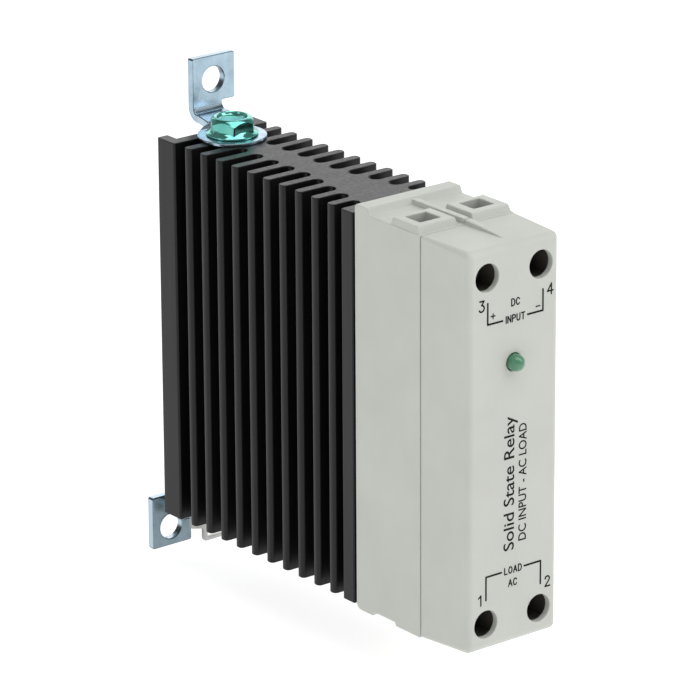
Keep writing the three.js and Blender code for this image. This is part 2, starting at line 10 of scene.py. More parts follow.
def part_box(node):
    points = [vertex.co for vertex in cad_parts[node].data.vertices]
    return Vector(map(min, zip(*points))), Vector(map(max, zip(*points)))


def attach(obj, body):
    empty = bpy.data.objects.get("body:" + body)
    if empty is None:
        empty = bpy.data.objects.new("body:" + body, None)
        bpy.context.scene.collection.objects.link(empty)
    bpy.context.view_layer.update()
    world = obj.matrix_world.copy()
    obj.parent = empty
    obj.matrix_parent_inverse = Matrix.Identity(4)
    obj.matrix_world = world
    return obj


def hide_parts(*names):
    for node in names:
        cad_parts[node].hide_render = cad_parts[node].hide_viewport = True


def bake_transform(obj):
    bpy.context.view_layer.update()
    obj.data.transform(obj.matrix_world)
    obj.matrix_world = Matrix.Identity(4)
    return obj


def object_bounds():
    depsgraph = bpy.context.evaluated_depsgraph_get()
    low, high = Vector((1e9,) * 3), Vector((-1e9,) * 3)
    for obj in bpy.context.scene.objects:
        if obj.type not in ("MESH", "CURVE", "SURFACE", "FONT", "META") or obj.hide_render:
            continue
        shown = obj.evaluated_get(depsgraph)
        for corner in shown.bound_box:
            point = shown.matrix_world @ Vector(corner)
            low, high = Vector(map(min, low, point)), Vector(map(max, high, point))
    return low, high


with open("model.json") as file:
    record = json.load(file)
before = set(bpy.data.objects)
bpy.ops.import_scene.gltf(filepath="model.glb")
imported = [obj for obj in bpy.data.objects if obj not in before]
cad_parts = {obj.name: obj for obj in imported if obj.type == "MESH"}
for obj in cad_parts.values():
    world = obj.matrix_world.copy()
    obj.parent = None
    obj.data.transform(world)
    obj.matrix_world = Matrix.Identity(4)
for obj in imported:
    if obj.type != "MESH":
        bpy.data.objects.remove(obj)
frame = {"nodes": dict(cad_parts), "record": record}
cad_low, cad_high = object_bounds()

# ---- placing: shapes are written in millimetres from the front face, foot and middle ----
MM = 0.001
SINK_HALF = 11.25
FLANGE_FRONT = 32.8
sink_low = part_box("heat_sink")[0]
START = Vector((sink_low.x + SINK_HALF * MM, sink_low.y - FLANGE_FRONT * MM, sink_low.z))
TO_ROW = Matrix.Translation(START) @ Matrix.Scale(MM, 4)

# local x, y, z of a flat plate to the part's axes: thickness along x, y or z
ALONG_X = Matrix(((0, 0, 1, 0), (1, 0, 0, 0), (0, 1, 0, 0), (0, 0, 0, 1)))
ALONG_Y = Matrix(((1, 0, 0, 0), (0, 0, -1, 0), (0, 1, 0, 0), (0, 0, 0, 1)))
ALONG_Z = Matrix.Identity(4)


# ---- mesh helpers ----
def link(name, mesh):
    obj = bpy.data.objects.new(name, mesh)
    bpy.context.scene.collection.objects.link(obj)
    return obj


def mesh_from(name, bm):
    mesh = bpy.data.meshes.new(name)
    bm.to_mesh(mesh)
    bm.free()
    return link(name, mesh)


def evaluated(obj):
    graph = bpy.context.evaluated_depsgraph_get()
    return bpy.data.meshes.new_from_object(obj.evaluated_get(graph))


def weld(mesh, distance=1e-4):
    bm = bmesh.new()
    bm.from_mesh(mesh)
    bmesh.ops.remove_doubles(bm, verts=bm.verts, dist=distance)
    bmesh.ops.recalc_face_normals(bm, faces=bm.faces)
    bm.to_mesh(mesh)
    bm.free()


def plate(name, loops, depth, edge, matrix=ALONG_Z, rings=3):
    """A flat plate from an outline and its holes, rounded by edge along both rims."""
    curve = bpy.data.curves.new(name, "CURVE")
    curve.dimensions = "2D"
    curve.fill_mode = "BOTH"
    curve.extrude = depth / 2 - edge
    curve.bevel_depth = edge
    curve.bevel_resolution = rings
    curve.offset = -edge
    for loop in loops:
        spline = curve.splines.new("POLY")
        spline.points.add(len(loop) - 1)
        for point, (u, v) in zip(spline.points, loop):
            point.co = (u, v, 0, 1)
        spline.use_cyclic_u = True
    flat = link(name + ".outline", curve)
    mesh = evaluated(flat)
    bpy.data.objects.remove(flat)
    weld(mesh)
    mesh.transform(matrix)
    return link(name, mesh)


def arc(cx, cy, radius, start, end, steps):
    points = []
    for i in range(steps + 1):
        a = math.radians(start + (end - start) * i / steps)
        points.append((cx + radius * math.cos(a), cy + radius * math.sin(a)))
    return points


def ring(cx, cy, radius, steps):
    return arc(cx, cy, radius, 0, 360 - 360 / steps, steps - 1)


def rounded(corners, steps=5):
    """An outline from corners (u, v, radius), each rounded by its radius."""
    out = []
    count = len(corners)
    for i, (u, v, radius) in enumerate(corners):
        here = Vector((u, v))
        before = Vector(corners[i - 1][:2])
        after = Vector(corners[(i + 1) % count][:2])
        if radius <= 0:
            out.append((u, v))
            continue
        a = (before - here).normalized()
        b = (after - here).normalized()
        angle = a.angle(b)
        reach = radius / math.tan(angle / 2)
        start = here + a * reach
        end = here + b * reach
        middle = here + (a + b).normalized() * (radius / math.sin(angle / 2))
        s = start - middle
        e = end - middle
        turn = math.atan2(s.x * e.y - s.y * e.x, s.dot(e))
        for k in range(steps + 1):
            t = turn * k / steps
            p = Vector((s.x * math.cos(t) - s.y * math.sin(t), s.x * math.sin(t) + s.y * math.cos(t)))
            out.append(tuple(middle + p))
    return out


def loft(name, rings):
    """A closed skin through rings of points, with a flat face at both ends."""
    bm = bmesh.new()
    rows = [[bm.verts.new(p) for p in points] for points in rings]
    count = len(rows[0])
    for low, high in zip(rows, rows[1:]):
        for i in range(count):
            j = (i + 1) % count
            bm.faces.new((low[i], low[j], high[j], high[i]))
    bm.faces.new(rows[0][::-1])
    bm.faces.new(rows[-1])
    bmesh.ops.recalc_face_normals(bm, faces=bm.faces)
    return mesh_from(name, bm)


def turned(name, profile, centre, axis, steps):
    """A turned solid: profile (radius, height) pairs that start and end on the axis."""
    bm = bmesh.new()
    rows = []
    for radius, height in profile:
        if radius < 1e-6:
            rows.append([bm.verts.new((0, 0, height))])
        else:
            rows.append([
                bm.verts.new((radius * math.cos(2 * math.pi * k / steps),
                              radius * math.sin(2 * math.pi * k / steps), height))
                for k in range(steps)
            ])
    for low, high in zip(rows, rows[1:]):
        for k in range(steps):
            j = (k + 1) % steps
            corners = [low[k % len(low)], low[j % len(low)], high[j % len(high)], high[k % len(high)]]
            unique = list(dict.fromkeys(corners))
            if len(unique) > 2:
                bm.faces.new(unique)
    bmesh.ops.recalc_face_normals(bm, faces=bm.faces)
    obj = mesh_from(name, bm)
    turn = {"x": Matrix.Rotation(math.pi / 2, 4, "Y"), "y": Matrix.Rotation(-math.pi / 2, 4, "X"),
            "z": Matrix.Identity(4)}[axis]
    obj.data.transform(Matrix.Translation(centre) @ turn)
    return obj


def block(name, x0, x1, y0, y1, z0, z1):
    bm = bmesh.new()
    bmesh.ops.create_cube(bm, size=1)
    obj = mesh_from(name, bm)
    size = Matrix.Diagonal((x1 - x0, y1 - y0, z1 - z0, 1))
    obj.data.transform(Matrix.Translation(((x0 + x1) / 2, (y0 + y1) / 2, (z0 + z1) / 2)) @ size)
    return obj


def combine(target, tool, operation):
    change = target.modifiers.new("combine", "BOOLEAN")
    change.operation = operation
    change.solver = "EXACT"
    change.object = tool
    mesh = evaluated(target)
    target.modifiers.clear()
    target.data = mesh
    bpy.data.objects.remove(tool)
    return target


def cut(target, tool):
    return combine(target, tool, "DIFFERENCE")


def fuse(target, tool):
    return combine(target, tool, "UNION")


def drill(target, radius, start, end, centre, axis="y", steps=24):
    """Cuts a round hole from start to end along an axis through centre."""
    profile = [(0, start), (radius, start), (radius, end), (0, end)]
    return cut(target, turned("drill", profile, centre, axis, steps))


def softened(name, node, width):
    """A copy of a frame node with its edges rounded by width, in millimetres."""
    mesh = frame["nodes"][node].data.copy()
    mesh.transform(TO_ROW.inverted())
    bm = bmesh.new()
    bm.from_mesh(mesh)
    bmesh.ops.remove_doubles(bm, verts=bm.verts, dist=1e-3)
    bmesh.ops.dissolve_limit(bm, angle_limit=math.radians(0.5), verts=bm.verts, edges=bm.edges)
    edges = [e for e in bm.edges if len(e.link_faces) == 2
             and e.calc_face_angle(0) > math.radians(28)]
    bmesh.ops.bevel(bm, geom=edges, offset=width, segments=2, profile=0.5,
                    affect="EDGES", clamp_overlap=True)
    bmesh.ops.recalc_face_normals(bm, faces=bm.faces)
    bm.to_mesh(mesh)
    bm.free()
    return link(name, mesh)


def finished(obj, body, material, slot, *nodes, sharp=32, weighted=True):
    """Moves a piece from millimetres to the row frame, shades it and ties it to the frame."""
    weld(obj.data, 2e-4)
    obj.data.transform(TO_ROW)
    obj.data.materials.clear()
    obj.data.materials.append(material)
    obj.data.shade_smooth()
    obj.data.set_sharp_from_angle(angle=math.radians(sharp))
    if weighted:
        normals = obj.modifiers.new("normals", "WEIGHTED_NORMAL")
        normals.keep_sharp = True
        normals.weight = 80
    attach(obj, body)
    if nodes:
        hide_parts(*nodes)
    return obj


# ---- materials ----
def nodes_of(name):
    """A new material, its node tree and its surface node."""
    material = bpy.data.materials.new(name)
    material.use_nodes = True
    tree = material.node_tree
    return material, tree, tree.nodes["Principled BSDF"]


def add_noise(tree, scale, detail, stretch=(1, 1, 1)):
    where = tree.nodes.new("ShaderNodeTexCoord")
    mapping = tree.nodes.new("ShaderNodeMapping")
    mapping.inputs["Scale"].default_value = stretch
    noise = tree.nodes.new("ShaderNodeTexNoise")
    noise.inputs["Scale"].default_value = scale
    noise.inputs["Detail"].default_value = detail
    tree.links.new(where.outputs["Object"], mapping.inputs["Vector"])
    tree.links.new(mapping.outputs["Vector"], noise.inputs["Vector"])
    return noise.outputs["Fac"]


def add_ramp(tree, source, stops):
    ramp = tree.nodes.new("ShaderNodeValToRGB")
    ramp.color_ramp.elements[0].position = stops[0][0]
    ramp.color_ramp.elements[0].color = (*stops[0][1], 1)
    ramp.color_ramp.elements[1].position = stops[-1][0]
    ramp.color_ramp.elements[1].color = (*stops[-1][1], 1)
    for position, colour in stops[1:-1]:
        ramp.color_ramp.elements.new(position).color = (*colour, 1)
    tree.links.new(source, ramp.inputs["Fac"])
    return ramp.outputs["Color"]


def add_range(tree, source, low, high, from_low=0.3, from_high=0.7):
    change = tree.nodes.new("ShaderNodeMapRange")
    change.inputs["From Min"].default_value = from_low
    change.inputs["From Max"].default_value = from_high
    change.inputs["To Min"].default_value = low
    change.inputs["To Max"].default_value = high
    tree.links.new(source, change.inputs["Value"])
    return change.outputs["Result"]


def add_bump(tree, surface, source, distance, strength, after=None):
    bump = tree.nodes.new("ShaderNodeBump")
    bump.inputs["Strength"].default_value = strength
    bump.inputs["Distance"].default_value = distance
    tree.links.new(source, bump.inputs["Height"])
    if after is not None:
        tree.links.new(after, bump.inputs["Normal"])
    tree.links.new(bump.outputs["Normal"], surface.inputs["Normal"])
    return bump.outputs["Normal"]


def add_mix(tree, share, first, second):
    mix = tree.nodes.new("ShaderNodeMix")
    mix.data_type = "RGBA"
    for value, name in ((share, "Factor"), (first, "A"), (second, "B")):
        socket = mix.inputs[name]
        if isinstance(value, bpy.types.NodeSocket):
            tree.links.new(value, socket)
        elif isinstance(value, tuple):
            socket.default_value = (*value, 1)
        else:
            socket.default_value = value
    return mix.outputs["Result"]


def add_edges(tree, radius, low, high):
    """1 on worn convex and concave edges, 0 on open faces."""
    bevel = tree.nodes.new("ShaderNodeBevel")
    bevel.samples = 4
    bevel.inputs["Radius"].default_value = radius
    geometry = tree.nodes.new("ShaderNodeNewGeometry")
    dot = tree.nodes.new("ShaderNodeVectorMath")
    dot.operation = "DOT_PRODUCT"
    tree.links.new(bevel.outputs["Normal"], dot.inputs[0])
    tree.links.new(geometry.outputs["Normal"], dot.inputs[1])
    return add_range(tree, dot.outputs["Value"], 1.0, 0.0, 1 - high, 1 - low)


def add_product(tree, first, second):
    both = tree.nodes.new("ShaderNodeMath")
    both.operation = "MULTIPLY"
    tree.links.new(first, both.inputs[0])
    tree.links.new(second, both.inputs[1])
    return both.outputs[0]


def add_facing(tree, axis):
    """1 on faces that look along the axis, either way, and 0 on faces that lie along it."""
    geometry = tree.nodes.new("ShaderNodeNewGeometry")
    split = tree.nodes.new("ShaderNodeSeparateXYZ")
    tree.links.new(geometry.outputs["Normal"], split.inputs["Vector"])
    size = tree.nodes.new("ShaderNodeMath")
    size.operation = "ABSOLUTE"
    tree.links.new(split.outputs[axis], size.inputs[0])
    return size.outputs[0]


def add_rim_shade(tree, strength):
    """Where the painted shade goes: strongest on the rounded upper and lower edges of upright faces, 0 on
    flat faces.
    """
    upward = add_facing(tree, "Z")
    rise = add_range(tree, upward, 0.0, strength, 0.12, 0.4)
    fall = add_range(tree, upward, 1.0, 0.0, 0.7, 0.9)
    return add_product(tree, rise, fall)


def add_side_light_mask(tree):
    """1 on cut sides, 0 on faces that look along y: where the painted light on the sides goes."""
    return add_range(tree, add_facing(tree, "Y"), 1.0, 0.0, 0.35, 0.8)


def moulded(name, low, high, rough=(0.46, 0.6)):
    material, tree, surface = nodes_of(name)
    cloud = add_noise(tree, 90, 4)
    tree.links.new(add_ramp(tree, cloud, [(0.3, low), (0.7, high)]), surface.inputs["Base Color"])
    patch = add_noise(tree, 240, 3)
    tree.links.new(add_range(tree, patch, *rough), surface.inputs["Roughness"])
    fine = add_noise(tree, 5200, 2)
    add_bump(tree, surface, fine, 0.00001, 0.6)
    surface.inputs["Specular IOR Level"].default_value = 0.42
    return material


def metal(name, dark, mid, light, rough, grain=0.000004, stretch=(1, 1, 1), scale=350, rim=0.0,
          painted_side_light=None):
    """A clouded metal, with painted shade on its rounded edges and a painted light colour on its cut sides,
    when these are asked for.
    """
    material, tree, surface = nodes_of(name)
    cloud = add_noise(tree, scale, 5, stretch)
    colour = add_ramp(tree, cloud, [(0.28, dark), (0.5, mid), (0.72, light)])
    # painted light: the cut sides take a lighter colour than the faces
    if painted_side_light:
        colour = add_mix(tree, add_side_light_mask(tree), colour, painted_side_light)
    # painted shade on the rounded edges: they are darkened toward 0.16 of the middle tone
    if rim:
        colour = add_mix(tree, add_rim_shade(tree, rim), colour, tuple(c * 0.16 for c in mid))
    tree.links.new(colour, surface.inputs["Base Color"])
    surface.inputs["Metallic"].default_value = 1.0
    patch = add_noise(tree, scale * 2.3, 4, stretch)
    tree.links.new(add_range(tree, patch, *rough), surface.inputs["Roughness"])
    fine = add_noise(tree, scale * 12, 3, stretch)
    add_bump(tree, surface, fine, grain, 0.5)
    return material


def anodised():
    material, tree, surface = nodes_of("anodised_aluminium")
    die = add_noise(tree, 1500, 3, (1, 1, 0.012))
    cloud = add_noise(tree, 130, 4, (1, 1, 0.35))
    base = add_ramp(tree, cloud, [(0.3, (0.0035, 0.0035, 0.0037)), (0.7, (0.0062, 0.0062, 0.0065))])
    edges = add_edges(tree, 0.00016, 0.03, 0.35)
    worn = add_noise(tree, 700, 4)
    share = add_product(tree, edges, add_range(tree, worn, 0.1, 0.8, 0.35, 0.75))
    tree.links.new(add_mix(tree, share, base, (0.10, 0.10, 0.105)), surface.inputs["Base Color"])
    tree.links.new(add_range(tree, die, 0.30, 0.42), surface.inputs["Roughness"])
    surface.inputs["Specular IOR Level"].default_value = 0.3
    first = add_bump(tree, surface, die, 0.000006, 0.55)
    fine = add_noise(tree, 4200, 2)
    add_bump(tree, surface, fine, 0.000004, 0.5, first)
    return material


def lamp():
    material, tree, surface = nodes_of("lamp_lens")
    cloud = add_noise(tree, 700, 3)
    tree.links.new(add_ramp(tree, cloud, [(0.3, (0.05, 0.19, 0.10)), (0.7, (0.10, 0.30, 0.18))]),
                   surface.inputs["Base Color"])
    tree.links.new(add_range(tree, add_noise(tree, 1500, 2), 0.16, 0.28), surface.inputs["Roughness"])
    surface.inputs["Subsurface Weight"].default_value = 0.35
    surface.inputs["Subsurface Radius"].default_value = (0.0004, 0.0012, 0.0007)
    surface.inputs["Coat Weight"].default_value = 0.5
    surface.inputs["Coat Roughness"].default_value = 0.08
    add_bump(tree, surface, add_noise(tree, 2200, 2), 0.000003, 0.4)
    return material


def ink():
    material, tree, surface = nodes_of("printing_ink")
    cloud = add_noise(tree, 3500, 3)
    tree.links.new(add_ramp(tree, cloud, [(0.3, (0.006, 0.006, 0.005)), (0.75, (0.014, 0.014, 0.012))]),
                   surface.inputs["Base Color"])
    tree.links.new(add_range(tree, cloud, 0.6, 0.75), surface.inputs["Roughness"])
    surface.inputs["Specular IOR Level"].default_value = 0.15
    add_bump(tree, surface, cloud, 0.000004, 0.5)
    return material


PLASTIC = moulded("housing_plastic", (0.545, 0.560, 0.515), (0.580, 0.594, 0.550))
ANODISED = anodised()
ZINC = metal("zinc_sheet", (0.31, 0.41, 0.49), (0.36, 0.475, 0.56), (0.41, 0.535, 0.625),
             (0.18, 0.26), 0.000002, scale=420, rim=0.85)
# a darker copy of the zinc for the lower bracket: painted shade under the heat sink, with painted light on
# its cut sides
ZINC_PAINTED_SHADE = metal("zinc_sheet_painted_shade", (0.18, 0.24, 0.275), (0.215, 0.28, 0.32), (0.25, 0.32, 0.365),
                   (0.18, 0.26), 0.000002, scale=420, rim=0.9, painted_side_light=(0.44, 0.54, 0.62))
GREEN = metal("green_zinc", (0.09, 0.36, 0.31), (0.14, 0.47, 0.41), (0.22, 0.58, 0.52), (0.08, 0.17))
STAINLESS = metal("stainless_sheet", (0.36, 0.36, 0.35), (0.43, 0.43, 0.42), (0.52, 0.52, 0.50), (0.32, 0.46),
                  stretch=(1, 1, 0.2))
PLATED = metal("plated_steel", (0.42, 0.42, 0.40), (0.52, 0.52, 0.49), (0.62, 0.62, 0.58), (0.24, 0.40))
COPPER = metal("tinned_copper", (0.50, 0.42, 0.34), (0.60, 0.54, 0.46), (0.68, 0.64, 0.58), (0.28, 0.42))
# a brownish black that stands in for the shade inside the terminal wells
WELL_SHADE_BLACK = moulded("black_moulding", (0.050, 0.047, 0.040), (0.078, 0.073, 0.062), (0.4, 0.55))
LENS = lamp()
INK = ink()
INNER = {
    "board_laminate": moulded("board_laminate", (0.012, 0.10, 0.035), (0.02, 0.14, 0.05), (0.3, 0.45)),
    "black_epoxy": moulded("black_epoxy", (0.012, 0.012, 0.012), (0.022, 0.022, 0.022), (0.45, 0.6)),
    "tan_resistor": moulded("tan_resistor", (0.40, 0.27, 0.15), (0.50, 0.35, 0.20)),
    "blue_coating": moulded("blue_coating", (0.02, 0.08, 0.30), (0.03, 0.12, 0.40), (0.3, 0.45)),
    "red_film": moulded("red_film", (0.30, 0.04, 0.025), (0.38, 0.06, 0.035), (0.3, 0.45)),
    "thermal_silicone": moulded("thermal_silicone", (0.33, 0.34, 0.37), (0.40, 0.41, 0.44), (0.7, 0.85)),
    "white_ceramic": moulded("white_ceramic", (0.72, 0.70, 0.64), (0.80, 0.78, 0.72), (0.4, 0.55)),
    "silicon": moulded("silicon", (0.03, 0.03, 0.04), (0.05, 0.05, 0.07), (0.15, 0.3)),
}

# ---- heat sink: one extrusion with rounded fin tips and slot roots ----
SINK_TOP = 77.3
FLANGE_BACK = 36.3
FIN_COUNT = 10
FIN_PITCH = 4.911
FIN_THICK = 2.0
FIN_FIRST_BACK = 84.9
BLOCK_FRONT = 87.86
SINK_BACK = 93.36
CHANNEL_FLOOR = 90.4
CHANNEL_HALF = 8.8
LIP_ROUND = 0.25
BACK_ROUND = 0.35
BLOCK_ROUND = 0.45
FIN_ROUND = 0.8
FLANGE_ROUND = 0.3
SLOT_EASE = 0.002
SINK_EDGE = 0.14
WEB_HALF = 2.6
WEB_GROWS_BEFORE = 56
WEB_GROWTH = 0.182
SCREW_Y = 84.3
SMALL_HOLE = 1.45
HOUSING_SCREW_Z = (13, 66)
HOOK_SCREW_Z = 66


def web_half(y):
    """The web between the slots is widest at the flange and narrows to an even width."""
    return WEB_HALF + max(0, WEB_GROWS_BEFORE - y) * WEB_GROWTH


def sink_side():
    """The right half of the extrusion's outline, from the rear channel to the flange."""
    side = [(CHANNEL_HALF, CHANNEL_FLOOR)]
    side += arc(CHANNEL_HALF + LIP_ROUND, SINK_BACK - LIP_ROUND, LIP_ROUND, 180, 90, 3)
    side += arc(SINK_HALF - BACK_ROUND, SINK_BACK - BACK_ROUND, BACK_ROUND, 90, 0, 4)
    side += arc(SINK_HALF - BLOCK_ROUND, BLOCK_FRONT + BLOCK_ROUND, BLOCK_ROUND, 0, -90, 4)
    back = BLOCK_FRONT
    for i in range(FIN_COUNT + 1):
        front = FIN_FIRST_BACK - i * FIN_PITCH if i < FIN_COUNT else FLANGE_BACK
        half = (back - front) / 2
        middle = (back + front) / 2
        side += arc(web_half(middle) + half, middle, half - SLOT_EASE, 90, 270, 12)
        if i < FIN_COUNT:
            side += arc(SINK_HALF - FIN_ROUND, front - FIN_ROUND, FIN_ROUND, 90, 0, 5)
            side += arc(SINK_HALF - FIN_ROUND, front - FIN_THICK + FIN_ROUND, FIN_ROUND, 0, -90, 5)
            back = front - FIN_THICK
    side += arc(SINK_HALF - BLOCK_ROUND, FLANGE_BACK - BLOCK_ROUND, BLOCK_ROUND, 90, 0, 4)
    side += arc(SINK_HALF - FLANGE_ROUND, FLANGE_FRONT + FLANGE_ROUND, FLANGE_ROUND, 0, -90, 3)
    return side


right = sink_side()
left = [(-x, y) for x, y in reversed(right)]
sink = plate("heat_sink_body", [right + left], SINK_TOP, SINK_EDGE,
             Matrix.Translation((0, 0, SINK_TOP / 2)), 2)
drill(sink, 2.05, SINK_TOP - 10, SINK_TOP + 1, (0, SCREW_Y, 0), "z", 32)
drill(sink, 2.05, -1, 8, (0, SCREW_Y, 0), "z", 32)
drill(sink, SMALL_HOLE, 84.5, 92, (0, 0, HOOK_SCREW_Z))
for z in HOUSING_SCREW_Z:
    drill(sink, SMALL_HOLE, 31, 39, (0, 0, z))
finished(sink, "relay", ANODISED, "anodised_aluminium", "heat_sink", sharp=40)

# ---- housing base ----
BASE_HALF = 11.08
BASE_FRONT = 13.4
BASE_BACK = 32.4
SHELF = 77.87
RIDGE = 79.2
WALL = 1.2
TERMINAL_X = 6.3
WIRE_X = 4.8
WIRE_Y = 18.4
WIRE_DEPTH = 4.4
WIRE_FLARE = 0.22
WIRE_CORNER = 0.25
BASE_EDGE = 0.24
BASE_FOOT = -0.75
ROOT = SHELF - 0.6
BOSS_HALF = 4.4
BOSS_DRAFT = (0.28, 0.28, 0.9, 0.4)

base_outline = rounded([
    (BASE_FRONT, BASE_FOOT, 0.27),
    (20.6, BASE_FOOT, 0.27),
    (20.9, -0.05, 0.15),
    (27.2, -0.05, 0.15),
    (27.5, -0.85, 0.27),
    (BASE_BACK, -0.85, 1.35),
    (BASE_BACK, RIDGE, 0.75),
    (28.75, RIDGE, 0.3),
    (28.05, SHELF, 0.25),
    (BASE_FRONT, SHELF, 0.27),
])
base = plate("housing_base_shell", [base_outline], BASE_HALF * 2, BASE_EDGE, ALONG_X, 4)


def soft_box(name, x0, x1, y0, y1, z0, z1, radius, edge, draft=(0, 0, 0, 0)):
    """A box with rounded upright corners and a rounded top; draft widens its foot (-x, +x, -y, +y)."""
    rings = []
    levels = [(z0, 0)] + [
        (z1 - edge + edge * math.sin(math.radians(a)), edge * (1 - math.cos(math.radians(a))))
        for a in (0, 22.5, 45, 67.5, 90)
    ]
    for z, inset in levels:
        share = (z1 - z) / (z1 - z0)
        a0 = x0 - draft[0] * share + inset
        a1 = x1 + draft[1] * share - inset
        b0 = y0 - draft[2] * share + inset
        b1 = y1 + draft[3] * share - inset
        r = max(radius - inset, 0.08)
        outline = rounded([(a0, b0, r), (a1, b0, r), (a1, b1, r), (a0, b1, r)])
        rings.append([(u, v, z) for u, v in outline])
    return loft(name, rings)


for side in (-1, 1):
    c = side * TERMINAL_X
    fuse(base, soft_box("boss", c - BOSS_HALF, c + BOSS_HALF, 14.46, 21.7, ROOT, RIDGE, 0.26, BASE_EDGE,
                        BOSS_DRAFT))
fuse(base, soft_box("rib", -0.7, 0.7, BASE_FRONT + 0.25, 29.6, ROOT, RIDGE - 0.3, 0.2, 0.22))
cut(base, block("hollow", -9.88, 9.88, BASE_FRONT - 1, 30.9, 0.95, 76.4))
cut(base, block("window", -9.3, 9.3, 30, BASE_BACK + 1, 19.5, 56.5))


def wire_entry(x, low, high, mouth, sign):
    """A square hole whose mouth flares out by a quarter round."""
    half_x = WIRE_X / 2
    half_y = WIRE_DEPTH / 2
    rings = []
    levels = [(low if sign > 0 else high, 0)]
    for a in (0, 30, 60, 90):
        t = math.radians(a)
        levels.append((mouth - sign * WIRE_FLARE * (1 - math.sin(t)), WIRE_FLARE * (1 - math.cos(t))))
    levels.append((mouth + sign * 1.0, WIRE_FLARE))
    for z, grow in levels:
        hx = half_x + grow
        hy = half_y + grow
        r = WIRE_CORNER + grow
        outline = rounded([(-hx, -hy, r), (hx, -hy, r), (hx, hy, r), (-hx, hy, r)], 4)
        rings.append([(x + u, WIRE_Y + v, z) for u, v in outline])
    return loft("entry", rings)


for side in (-1, 1):
    cut(base, wire_entry(side * TERMINAL_X, 70, 80, RIDGE, 1))
    cut(base, wire_entry(side * TERMINAL_X, -2, 6, BASE_FOOT, -1))
for z in HOUSING_SCREW_Z:
    drill(base, SMALL_HOLE, 29.9, 34, (0, 0, z))
finished(base, "relay", PLASTIC, "housing_plastic", "housing_base")

# ---- front cover ----
COVER_BACK = 13.1
COVER_HALF_FRONT = 10.68
COVER_HALF_BACK = 11.05
COVER_LOW_BACK = -0.55
COVER_LOW_RISE = 0.53
COVER_HIGH_BACK = SHELF - 0.02
COVER_HIGH_DROP = 0.2
COVER_ROUND = 1.35
CORNER_FRONT = 1.25
CORNER_SHRINK = 0.7
CORNER_LEAST = 0.12
LAMP_Z = 54.95


def cover_ring(y, inset):
    """The cover's outline at depth y: it tapers toward the front, where its corners are rounder."""
    draft = (COVER_BACK - y) / COVER_BACK
    half = COVER_HALF_BACK - (COVER_HALF_BACK - COVER_HALF_FRONT) * draft - inset
    low = COVER_LOW_BACK + COVER_LOW_RISE * draft + inset
    high = COVER_HIGH_BACK - COVER_HIGH_DROP * draft - inset
    r = max(CORNER_FRONT - CORNER_SHRINK * (y / COVER_BACK) - inset, CORNER_LEAST)
    outline = rounded([(-half, low, r), (half, low, r), (half, high, r), (-half, high, r)], 7)
    return [(u, y, v) for u, v in outline]


cover_rings = [
    cover_ring(COVER_ROUND * (1 - math.cos(math.radians(a))), COVER_ROUND * (1 - math.sin(math.radians(a))))
    for a in (0, 15, 30, 45, 60, 75, 90)
]
cover_rings += [
    cover_ring(COVER_BACK - 0.1, 0),
    cover_ring(COVER_BACK - 0.03, 0.03),
    cover_ring(COVER_BACK, 0.1),
]
cover = loft("front_cover_shell", cover_rings)

# the wedge rib narrows and sinks into the top toward the front
wedge_rings = []
for y, half, top in ((2.3, 0.06, SHELF - 0.3), (5.0, 0.28, SHELF + 0.18), (8.5, 0.5, SHELF + 0.62),
                     (COVER_BACK - 0.12, 0.78, RIDGE - 0.3), (COVER_BACK, 0.68, RIDGE - 0.42)):
    bottom = SHELF - 1
    wedge_rings.append([(-half, y, bottom), (half, y, bottom), (half, y, top - 0.16),
                        (half * 0.72, y, top - 0.04), (half * 0.3, y, top), (-half * 0.3, y, top),
                        (-half * 0.72, y, top - 0.04), (-half, y, top - 0.16)])
fuse(cover, loft("wedge", wedge_rings))
INNER_HALF = COVER_HALF_FRONT - WALL
cut(cover, block("hollow", -INNER_HALF, INNER_HALF, WALL, COVER_BACK + 1, 1.2, 76.3))


def lipped_hole(x, z, radius, depth, lip):
    """A round hole through the front wall with a rounded rim."""
    profile = [(0, -1), (radius + lip, -1), (radius + lip, 0)]
    profile += [(radius + lip * (1 - math.sin(math.radians(a))), lip * (1 - math.cos(math.radians(a))))
                for a in (22.5, 45, 67.5, 90)]
    profile += [(radius, depth), (0, depth)]
    return turned("hole", profile, (x, 0, z), "y", 64)


TERMINAL_Z = (5.1, 72.25)
for z in TERMINAL_Z:
    for side in (-1, 1):
        cut(cover, lipped_hole(side * TERMINAL_X, z, 2.7, 1.7, 0.16))
cut(cover, lipped_hole(0, LAMP_Z, 1.75, 2.2, 0.12))
finished(cover, "relay", PLASTIC, "housing_plastic", "front_cover")

# ---- status lamp ----
LAMP_RADIUS = 1.6
DOME_CENTRE = -0.7
LEAD_HALF = 0.25
lamp_profile = [(0, DOME_CENTRE - LAMP_RADIUS)]
for a in range(10, 91, 10):
    t = math.radians(a)
    lamp_profile.append((LAMP_RADIUS * math.sin(t), DOME_CENTRE - LAMP_RADIUS * math.cos(t)))
lamp_profile += [(LAMP_RADIUS, 1.2), (LAMP_RADIUS, 3.1), (LAMP_RADIUS - 0.1, 3.2), (0, 3.2)]
led = turned("status_led_lens", lamp_profile, (0, 0, LAMP_Z), "y", 48)
for x in (-1.25, 1.25):
    fuse(led, block("lead", x - LEAD_HALF, x + LEAD_HALF, 3.0, 23.9, LAMP_Z - LEAD_HALF, LAMP_Z + LEAD_HALF))
finished(led, "relay", LENS, "lamp_lens", "status_led")

# ---- brackets: cut flat, then bent; the upper foot is pressed thin under the screw ----
SHEET = 1.6
SHEET_EDGE = 0.22
TAB_FRONT = 97.2
TAB_HOLE = 2.6
SCREW_HOLE = 2.4
PRESSED = 0.65
PAD_TOP = SINK_TOP + PRESSED
PRESS_START = 89.6
PRESS_END = 91.5


def bend_line(radius):
    """Where a bend of this inside radius starts, its middle radius and its length."""
    middle = radius + SHEET / 2
    return TAB_FRONT - radius, middle, middle * math.pi / 2


